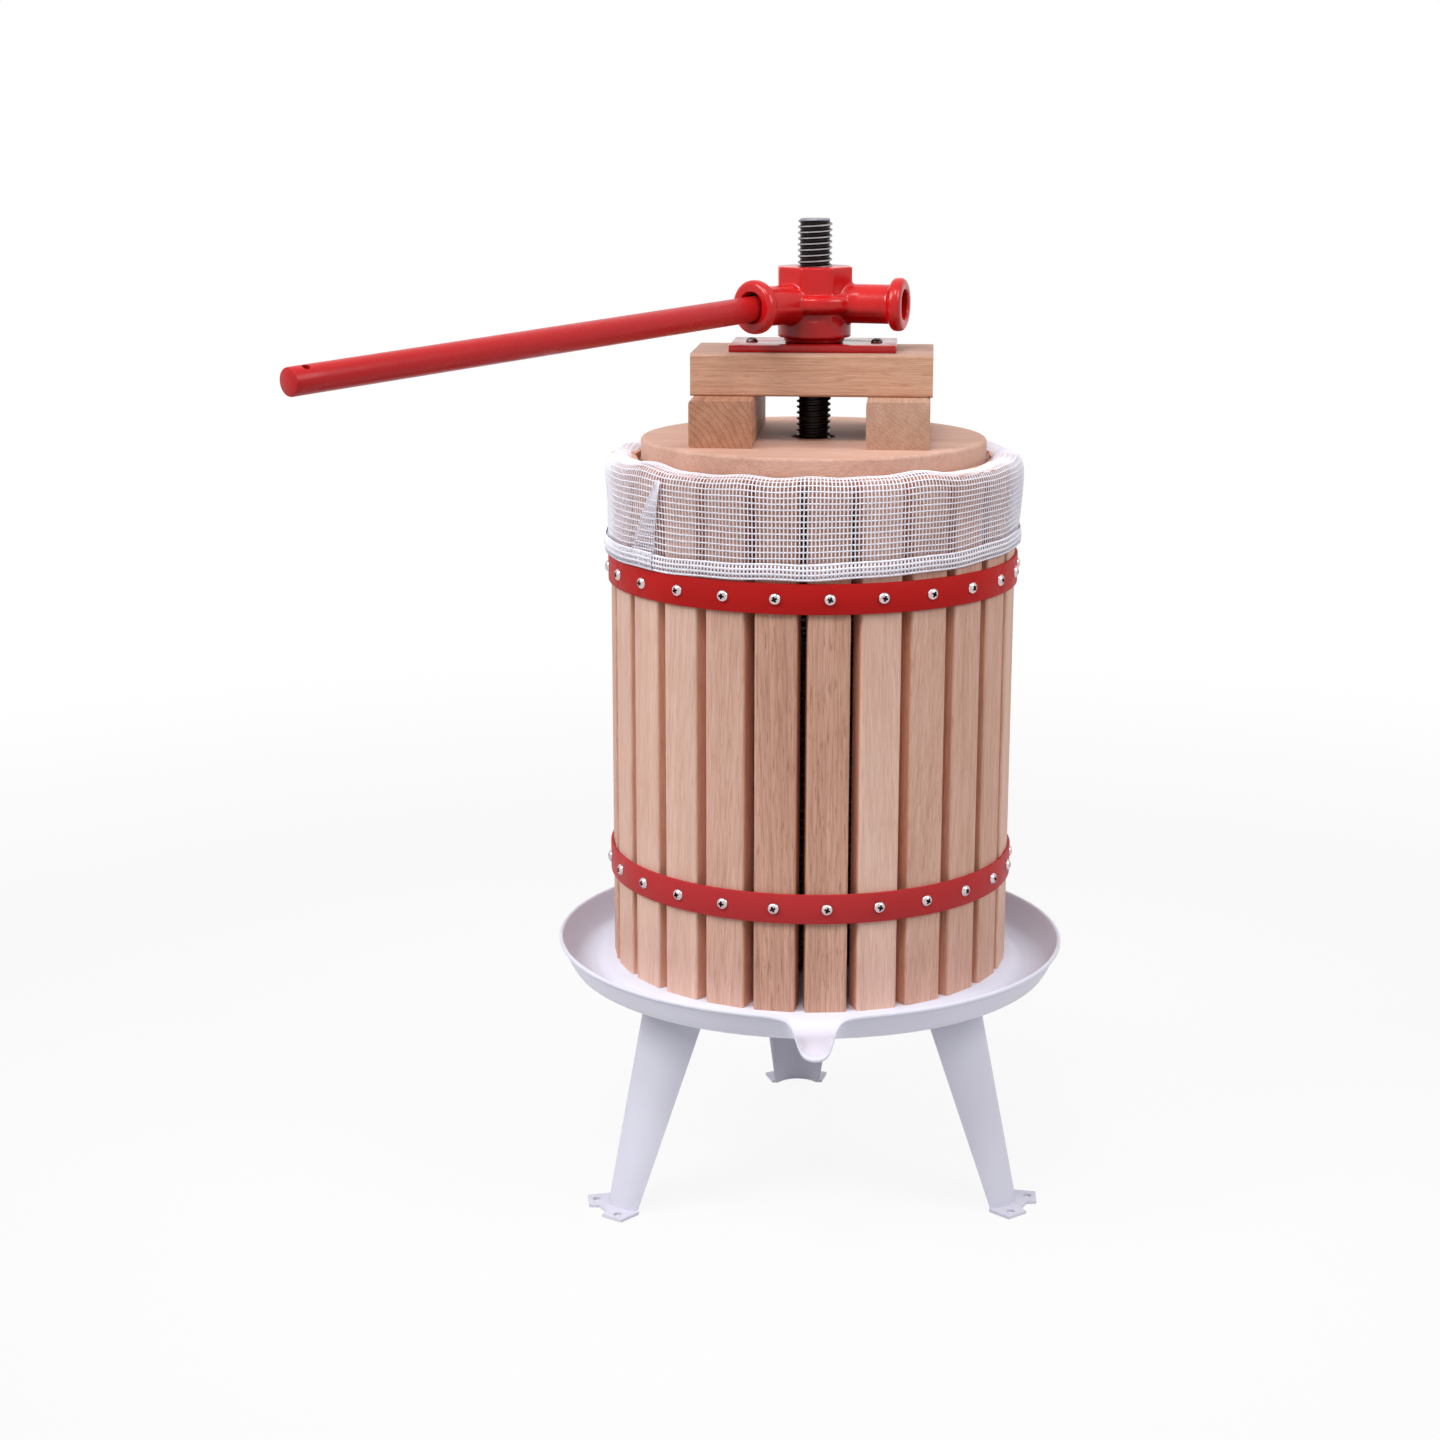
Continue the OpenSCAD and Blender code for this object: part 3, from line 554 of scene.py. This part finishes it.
# cast nut: the solid, melted together so that its corners run into each other
# the last three keys paint shade into the coat: darker below the arms' middle and near the axis
casting = {"grain": 0.0007, "rounds": 20, "headZ": (0.640, 0.646), "headR": (0.016, 0.021, 0.030, 0.036),
           "swell": 0.052, "paintedShadeZ": (0.612, 0.640), "paintedShadeR": (0.056, 0.050),
           "paintedShadeSteps": [(0.0, 0.78), (0.70, 0.6), (0.79, 0.62), (0.88, 1.0)]}
castNut = copyNode("press_nut", "castNut")
useModifier(castNut, "REMESH", mode="VOXEL", voxel_size=casting["grain"])
useModifier(castNut, "SMOOTH", factor=0.5, iterations=casting["rounds"])
for point in castNut.data.vertices:  # the head swells a little over the arms
    reach = math.hypot(point.co.x, point.co.y)
    swell = np.interp(point.co.z, casting["headZ"], (0, 1)) * np.interp(reach, casting["headR"], (0, 1, 1, 0))
    swell = swell * casting["swell"]
    point.co.x *= 1 + swell
    point.co.y *= 1 + swell
focus(castNut)
bpy.ops.object.shade_smooth()
castTree = castingRed.node_tree  # painted shade: the coat is darkened below the arms' middle and close to the axis, under the arms and web
castColour = castTree.nodes["Principled BSDF"].inputs["Base Color"]
castPlace = placeCoords(castTree)
paintedShadeCoat = greyRamp(castTree, mapRange(castTree, heightOf(castTree, castPlace), casting["paintedShadeZ"]), casting["paintedShadeSteps"])
nearShare = mapRange(castTree, axisReach(castTree, castPlace), casting["paintedShadeR"])
brightCoat = castColour.links[0].from_socket
castTree.links.new(blendColour(castTree, "MULTIPLY", nearShare, brightCoat, paintedShadeCoat), castColour)
paint(castNut, castingRed)
finishPiece(castNut, "head", "red_casting", "press_nut")
print("casting ready:", len(castNut.data.polygons), "faces")

# spindle: one pitch of the thread's section, screwed up the axis
thread = {
    "pitch": 0.004, "crestR": 0.012, "rootR": 0.01025, "crest": 0.0008, "flank": 0.0009, "low": 0.1424, "top": 0.697,
    "chamfer": 0.0022, "steps": 36,
    "crestBand": (0.0104, 0.0118), "bareShareZ": (0.585, 0.645), "endBand": (0.0018, 0.0008),
    "bare": [(0.0, (0.022, 0.017, 0.018)), (0.7, (0.07, 0.058, 0.064)), (1.0, (0.42, 0.39, 0.41))],
    "darkLow": [(0.0, (0.004, 0.003, 0.003)), (1.0, (0.016, 0.012, 0.010))], "endTint": (0.40, 0.39, 0.43),
}
rise = [(thread["rootR"], 0), (thread["rootR"], thread["pitch"] - thread["crest"] - 2 * thread["flank"])]
rise.append((thread["crestR"], rise[1][1] + thread["flank"]))
rise.append((thread["crestR"], rise[2][1] + thread["crest"]))
rise.append((thread["rootR"], thread["pitch"]))
rounds = int((thread["top"] - thread["low"]) / thread["pitch"]) + 3
spindle = traceLine("spindleThread", [(r, 0, thread["low"] - 2 * thread["pitch"] + z) for r, z in rise])
spinLine(spindle, thread["steps"], thread["pitch"], rounds)
bisectAt(spindle, thread["top"], use_fill=True, clear_outer=True, clear_inner=False)
bisectAt(spindle, thread["low"], use_fill=True, clear_outer=False, clear_inner=True)
for point in spindle.data.vertices:  # chamfer at the top end
    reach = math.hypot(point.co.x, point.co.y)
    most = thread["crestR"] - max(0.0, point.co.z - (thread["top"] - thread["chamfer"]))
    if reach > most:
        point.co.x *= most / reach
        point.co.y *= most / reach
smoothShade(spindle, 35)
steel, steelTree, steelShader = newFinish("threadSteel")
steelPlace = placeCoords(steelTree)
steelHeight = heightOf(steelTree, steelPlace)
# painted shade and highlight: the thread's roots are painted near black and its crests light
onCrest = mapRange(steelTree, axisReach(steelTree, steelPlace), thread["crestBand"])
bareShare = mapRange(steelTree, steelHeight, thread["bareShareZ"])  # bare steel above the nut, near black and not metallic below
endFace = mapRange(steelTree, steelHeight, [thread["top"] - depth for depth in thread["endBand"]])
smear = noise(steelTree, placeCoords(steelTree, (1, 1, 3)), 160, 3.0)
tint = blendColour(steelTree, "MIX", bareShare, ramp(steelTree, onCrest, thread["darkLow"]),
                   ramp(steelTree, onCrest, thread["bare"]))
tint = blendColour(steelTree, "MIX", endFace, tint, thread["endTint"])
tint = blendColour(steelTree, "MULTIPLY", 0.35, tint, greyRamp(steelTree, smear, [(0.3, 0.5), (0.7, 1)]))
steelTree.links.new(tint, steelShader.inputs["Base Color"])
steelTree.links.new(greyRamp(steelTree, smear, [(0.3, 0.28), (0.7, 0.45)]), steelShader.inputs["Roughness"])
steelTree.links.new(bareShare, steelShader.inputs["Metallic"])
steelShader.inputs["Specular IOR Level"].default_value = 0.25
bumpFrom(steelTree, steelShader, smear, 0.08, 0.0002)
paint(spindle, steel)
finishPiece(spindle, "base", "spindle_steel", "spindle")
print("spindle ready:", len(spindle.data.polygons), "faces")

# pan-head screws with a cross recess
screw = {"headR": 0.0042, "headH": 0.0026, "sides": 20,
         "slotL": 0.0030, "slotW": 0.0011, "slotD": 0.0017, "narrow": 0.45,
         "dome": [(0, 1.0), (0.35, 0.96), (0.66, 0.80), (0.87, 0.52), (0.98, 0.2), (1.0, 0.0), (0.98, -0.06)]}


def makeScrew(name, finish):
    head = traceLine(name, [(x * screw["headR"], 0, z * screw["headH"]) for x, z in screw["dome"]])
    spinLine(head, screw["sides"])
    focus(head)
    bpy.ops.object.mode_set(mode="EDIT")
    bpy.ops.mesh.select_all(action="DESELECT")
    bpy.ops.mesh.select_non_manifold()
    bpy.ops.mesh.edge_face_add()
    bpy.ops.object.mode_set(mode="OBJECT")
    paint(head, finish)
    for turn in (0, 90):
        clearSelection()
        bpy.ops.mesh.primitive_cube_add(size=2, location=(0, 0, screw["headH"]))
        cutter = bpy.context.object
        cutter.scale = (screw["slotL"], screw["slotW"], screw["slotD"])
        cutter.rotation_euler = (0, 0, math.radians(turn))
        settle(cutter)
        for point in cutter.data.vertices:  # the recess narrows towards its floor
            if point.co.z < screw["headH"]:
                point.co.x *= screw["narrow"]
                point.co.y *= screw["narrow"]
        # the recess walls take the near-black painted shade
        paint(cutter, recessSteel)
        useModifier(head, "BOOLEAN", operation="DIFFERENCE", solver="EXACT", material_mode="TRANSFER", object=cutter)
        bpy.data.objects.remove(cutter)
    smoothShade(head, 40)
    return head


def spreadScrews(name, places, finish):
    first = makeScrew(name, finish)
    rnd = random.Random(len(places))
    copies = []
    for place, outward in places:
        one = first.copy()
        one.data = first.data.copy()
        bpy.context.scene.collection.objects.link(one)
        spin = Matrix.Rotation(rnd.uniform(0, math.pi), 4, "Z")
        facing = Vector(outward).to_track_quat("Z", "Y").to_matrix().to_4x4()
        one.data.transform(Matrix.Translation(place) @ facing @ spin)
        copies.append(one)
    bpy.data.objects.remove(first)
    clearSelection()
    for one in copies:
        one.select_set(True)
    bpy.context.view_layer.objects.active = copies[0]
    bpy.ops.object.join()
    group = bpy.context.view_layer.objects.active
    group.name = name
    return group


hoop = {"outR": 0.1451, "count": 25, "turn": -85.3, "upper": 0.45665, "lower": 0.24365}
for level in ("upper", "lower"):
    places = []
    for index in range(hoop["count"]):
        angle = math.radians(hoop["turn"] + index * 360 / hoop["count"])
        outward = (math.cos(angle), math.sin(angle), 0)
        places.append(((hoop["outR"] * outward[0], hoop["outR"] * outward[1], hoop[level]), outward))
    screws = spreadScrews(level + "HoopScrews", places, brightSteel)
    finishPiece(screws, "base", "bright_steel", "hoop_screws_" + level)
plate = {"turn": math.radians(-2.5), "out": 0.0435}
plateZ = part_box("plate_screws")[1].z - screw["headH"]
places = [((s * plate["out"] * math.cos(plate["turn"]), s * plate["out"] * math.sin(plate["turn"]), plateZ), (0, 0, 1))
          for s in (-1, 1)]
plateScrews = spreadScrews("plateScrews", places, darkScrew)
finishPiece(plateScrews, "press_stack", "bright_steel", "plate_screws")
print("screws ready")


# net bag: white threads, a doubled hem and one pleat
def evenLine(line, gap):
    line = np.array(line)
    length = np.concatenate([[0], np.cumsum(np.linalg.norm(np.diff(line, axis=0), axis=1))])
    marks = np.linspace(0, length[-1], int(round(length[-1] / gap)) + 1)
    return np.stack([np.interp(marks, length, line[:, k]) for k in range(2)], axis=1)


def ripple(turn, seed, waves):
    rnd = random.Random(seed)
    total = np.zeros_like(turn)
    for count, size in waves:
        total = total + size * np.sin(count * turn + rnd.uniform(0, 2 * math.pi))
    return total


# flat threads swept along lines of points, four sides each
def sweepThreads(lines, normals, width, thick, closed):
    ahead = np.roll(lines, -1, axis=1)
    behind = np.roll(lines, 1, axis=1)
    if not closed:
        ahead[:, -1] = lines[:, -1]
        behind[:, 0] = lines[:, 0]
    side = np.cross(ahead - behind, normals)
    side /= np.linalg.norm(side, axis=2, keepdims=True)
    corners = np.stack([lines + side * a * width / 2 + normals * b * thick / 2
                        for a, b in ((-1, 0), (0, -1), (1, 0), (0, 1))], axis=2)
    many, steps = lines.shape[:2]
    index = np.arange(many * steps * 4).reshape(many, steps, 4)
    start = index if closed else index[:, :-1]
    after = np.roll(index, -1, axis=1) if closed else index[:, 1:]
    faces = []
    for k in range(4):
        n = (k + 1) % 4
        ring = np.stack([start[:, :, k], start[:, :, n], after[:, :, n], after[:, :, k]], axis=2)
        faces.append(ring.reshape(-1, 4))
    if not closed:
        faces += [index[:, 0, ::-1], index[:, -1]]
    return corners.reshape(-1, 3), np.concatenate(faces)


# a grid holds one line of points per upright thread
def netParts(grid, weave, every=2, wrap=True, apart=0.05):
    around = np.roll(grid, -1, axis=0) - np.roll(grid, 1, axis=0)
    if not wrap:
        around[0] = grid[1] - grid[0]
        around[-1] = grid[-1] - grid[-2]
    normals = np.cross(around, np.gradient(grid, axis=1))
    normals /= np.linalg.norm(normals, axis=2, keepdims=True)
    across = np.swapaxes(grid, 0, 1)[:, ::every]
    acrossNormals = np.swapaxes(normals, 0, 1)[:, ::every]
    thick = weave["thick"]
    return [sweepThreads(grid + normals * thick * apart, normals, weave["threadW"], thick, False),
            sweepThreads(across - acrossNormals * thick * apart, acrossNormals, weave["ringW"], thick, wrap)]


def turnedGrid(turns, radius, height):
    turns, radius, height = np.broadcast_arrays(turns, radius, height)
    return np.stack([radius * np.cos(turns), radius * np.sin(turns), height], axis=2)


# an edge of the cloth rolled into a cord, through a row of points
def edgeCord(line, size, closed):
    axis = np.stack([line[:, 0], line[:, 1], 0 * line[:, 2]], axis=1)
    outward = axis / np.linalg.norm(axis, axis=1, keepdims=True)
    return sweepThreads(line[None], outward[None], size, size * 0.9, closed)


def clothPiece(name, parts, finish):
    points, faces, count = [], [], 0
    for partPoints, partFaces in parts:
        points.append(partPoints)
        faces.append(partFaces + count)
        count += len(partPoints)
    mesh = bpy.data.meshes.new(name)
    mesh.from_pydata(np.concatenate(points).tolist(), [], np.concatenate(faces).tolist())
    piece = bpy.data.objects.new(name, mesh)
    bpy.context.scene.collection.objects.link(piece)
    mergeDoubles(piece, 1e-7, True)
    focus(piece)
    bpy.ops.object.shade_smooth()
    paint(piece, finish)
    finishPiece(piece, "base", "net_cloth", "press_bag")
    return piece


def clothFinish(name, shade, light):
    finish, tree, shader = newFinish(name)
    weave = noise(tree, placeCoords(tree), 1700, 2.0)
    tree.links.new(ramp(tree, weave, [(0.3, shade), (0.7, light)]), shader.inputs["Base Color"])
    shader.inputs["Roughness"].default_value = 0.7
    shader.inputs["Specular IOR Level"].default_value = 0.3
    bumpFrom(tree, shader, weave, 0.35, 0.0003)
    return finish


cloth = clothFinish("netCloth", (0.86, 0.84, 0.94), (0.94, 0.92, 0.99))
shadedInnerCloth = clothFinish("netClothInside", (0.40, 0.37, 0.40), (0.50, 0.46, 0.48))  # painted shade: the white cloth made grey where it hangs in the basket
shadedLowCloth = clothFinish("netClothLow", (0.13, 0.10, 0.105), (0.17, 0.135, 0.14))  # painted shade: the white cloth made near black, lowest in the basket

# cuff: from the hem up, over the staves and a little way in
cuff = {
    "threads": 347, "ringGap": 0.0039, "threadW": 0.00092, "ringW": 0.00104, "thick": 0.00078,
    "foot": 0.4816, "rise": 0.052,
    "line": [(0.1447, 0.4816), (0.1449, 0.4900), (0.1453, 0.5020), (0.1462, 0.5150), (0.1466, 0.5240), (0.1460, 0.5295),
             (0.1438, 0.5336), (0.1400, 0.5354), (0.1345, 0.5358), (0.1295, 0.5350), (0.1262, 0.5330), (0.1245, 0.5295),
             (0.1239, 0.5235)],
    "waves": [(5, 0.0005), (8, 0.0005), (13, 0.0004), (21, 0.0003)], "lift": 1.6,
    "sag": [(6, 0.0004), (14, 0.0003)], "lean": [(4, 0.006), (9, 0.004), (15, 0.002)],
}
hem = {"h": 0.0096, "z": 0.4720, "sway": 0.0042, "turn": 155, "waves": [(9, 0.0003), (17, 0.0003)], "r": 0.1454,
       "bulge": 0.0011, "follow": 0.4, "threadW": 0.0015, "ringW": 0.0017, "thick": 0.0007, "cord": 0.0015}
turns = np.linspace(0, 2 * math.pi, cuff["threads"], endpoint=False)
soft = ripple(turns, 3, cuff["waves"])
hemFoot = hem["z"] - hem["sway"] * np.cos(turns + math.radians(hem["turn"])) + ripple(turns, 15, hem["waves"])
hemTop = hemFoot + hem["h"]
cuffLine = evenLine(cuff["line"], cuff["ringGap"])
share = np.linspace(0, 1, len(cuffLine))[None, :]
upper = np.clip((cuffLine[:, 1] - cuff["foot"]) / cuff["rise"], 0, 1)[None, :]
radius = cuffLine[None, :, 0] + soft[:, None] * np.sin(np.pi * np.clip(share * 1.5, 0, 1))
height = cuffLine[None, :, 1] + soft[:, None] * cuff["lift"] * upper ** 3
height = height + (hemTop[:, None] - cuff["foot"]) * (1 - upper) ** 1.5
height = height + ripple(turns, 5, cuff["sag"])[:, None] * (1 - upper)
lean = ripple(turns, 9, cuff["lean"])[:, None] * share
cuffGrid = turnedGrid(turns[:, None] + lean, radius, height)
cuffPiece = clothPiece("bagCuff", netParts(cuffGrid, cuff), cloth)
print("cuff ready:", len(cuffPiece.data.polygons), "faces")

# hem: the net folded double, with small holes between corded edges, and its end tucked under the pleat
pleat = {"turn": -133.5, "wide": 9.6, "lean": -4.1, "top": 0.529, "past": 0.005, "rows": 13, "threads": 9, "tip": 0.08,
         "over": 0.0007, "lift": 0.0014, "threadW": 0.0009, "ringW": 0.0011, "thick": 0.0004, "cord": 0.001,
         "restsFrom": -1, "restsTo": 15, "restsRows": 12}
tuck = {"from": -200, "threads": 86, "r": 0.1464, "tall": 1.12, "threadW": 0.0013, "ringW": 0.0017,
        "thick": 0.0006}
rows = np.linspace(0, 1, 4)[None, :]
bulge = hem["bulge"] * np.sin(np.pi * (0.1 + 0.8 * rows))
hemGrid = turnedGrid(turns[:, None], hem["r"] + bulge + hem["follow"] * soft[:, None],
                     hemFoot[:, None] + hem["h"] * rows)
hemParts = netParts(hemGrid, hem, 1)
for row in (0, 3):
    hemParts.append(edgeCord(hemGrid[:, row], hem["cord"], True))
tuckTurns = np.radians(np.linspace(tuck["from"], pleat["turn"] + pleat["lean"], tuck["threads"]))
tuckFoot = np.interp(tuckTurns % (2 * math.pi), turns, hemFoot)
tuckGrid = turnedGrid(tuckTurns[:, None], tuck["r"] + bulge, tuckFoot[:, None] + tuck["tall"] * hem["h"] * rows)
hemParts += netParts(tuckGrid, tuck, 1, False)
hemPiece = clothPiece("bagHem", hemParts, cloth)

# pleat: a wedge of cloth lying over the cuff, with its fold to the left
fold, wide, lean = (math.radians(pleat[name]) for name in ("turn", "wide", "lean"))
down = np.linspace(0, 1, pleat["rows"])
sideways = np.linspace(0, 1, pleat["threads"])[:, None]
pleatZ = pleat["top"] - down * (pleat["top"] - hem["z"] - hem["h"] + pleat["past"])
spread = pleat["tip"] + (1 - pleat["tip"]) * down[None, :]
pleatTurns = fold + lean * down[None, :] - wide * (1 - sideways) * spread
under = []  # the cuff's radius behind the pleat
for degrees in range(pleat["restsFrom"], pleat["restsTo"]):
    nearest = int(round((fold - math.radians(degrees)) / (2 * math.pi) * cuff["threads"])) % cuff["threads"]
    line = cuffGrid[nearest, :pleat["restsRows"]]
    under.append(np.interp(pleatZ, line[:, 2], np.hypot(line[:, 0], line[:, 1])))
pleatR = np.max(under, axis=0)[None, :] + pleat["over"] + pleat["lift"] * (1 - sideways) ** 2
pleatGrid = turnedGrid(pleatTurns, pleatR, pleatZ[None, :])[:, ::-1]
pleatParts = netParts(pleatGrid, pleat, 1, False) + [edgeCord(pleatGrid[0], pleat["cord"], False)]
pleatPiece = clothPiece("bagPleat", pleatParts, cloth)

# liner inside the basket: fine where it shows
liner = {"r": 0.1237, "top": 0.5235, "low": 0.452, "threads": 294}
linerTurns = np.linspace(0, 2 * math.pi, liner["threads"], endpoint=False)[:, None]
linerZ = np.arange(liner["top"], liner["low"], -cuff["ringGap"])[::-1][None, :]
linerPiece = clothPiece("bagLiner", netParts(turnedGrid(linerTurns, liner["r"], linerZ), cuff), shadedInnerCloth)

# lower bag: a wider net that hangs in folds, clear of the disc at its lowest place
lowBag = {"eyeR": 0.030, "floorZ": 0.1745, "clearZ": 0.434, "threads": 150, "ringGap": 0.0065, "threadW": 0.0024,
          "ringW": 0.0026, "thick": 0.00078,
          "folds": [(7, 0.007), (11, 0.008), (16, 0.005)], "foldH": 0.1, "foldR": 0.06,
          "line": [(0.064, 0.178), (0.067, 0.19), (0.068, 0.35), (0.082, 0.395)], "floorR": 0.056}
lowLine = evenLine([(lowBag["eyeR"], lowBag["floorZ"]), (lowBag["floorR"], lowBag["floorZ"]), *lowBag["line"],
                    (liner["r"], lowBag["clearZ"]), (liner["r"], liner["low"])], lowBag["ringGap"])
lineR, lineZ = lowLine[None, :, 0], lowLine[None, :, 1]
lowTurns = np.linspace(0, 2 * math.pi, lowBag["threads"], endpoint=False)[:, None]
loose = np.clip((lowBag["clearZ"] - lineZ) / lowBag["foldH"], 0, 1)
loose = loose * np.clip((lineR - lowBag["eyeR"]) / lowBag["foldR"], 0, 1)
lowR = lineR + ripple(lowTurns, 21, lowBag["folds"]) * loose
lowPiece = clothPiece("bagBottom", netParts(turnedGrid(lowTurns, lowR, lineZ), lowBag, 1), shadedLowCloth)
print("bag ready")
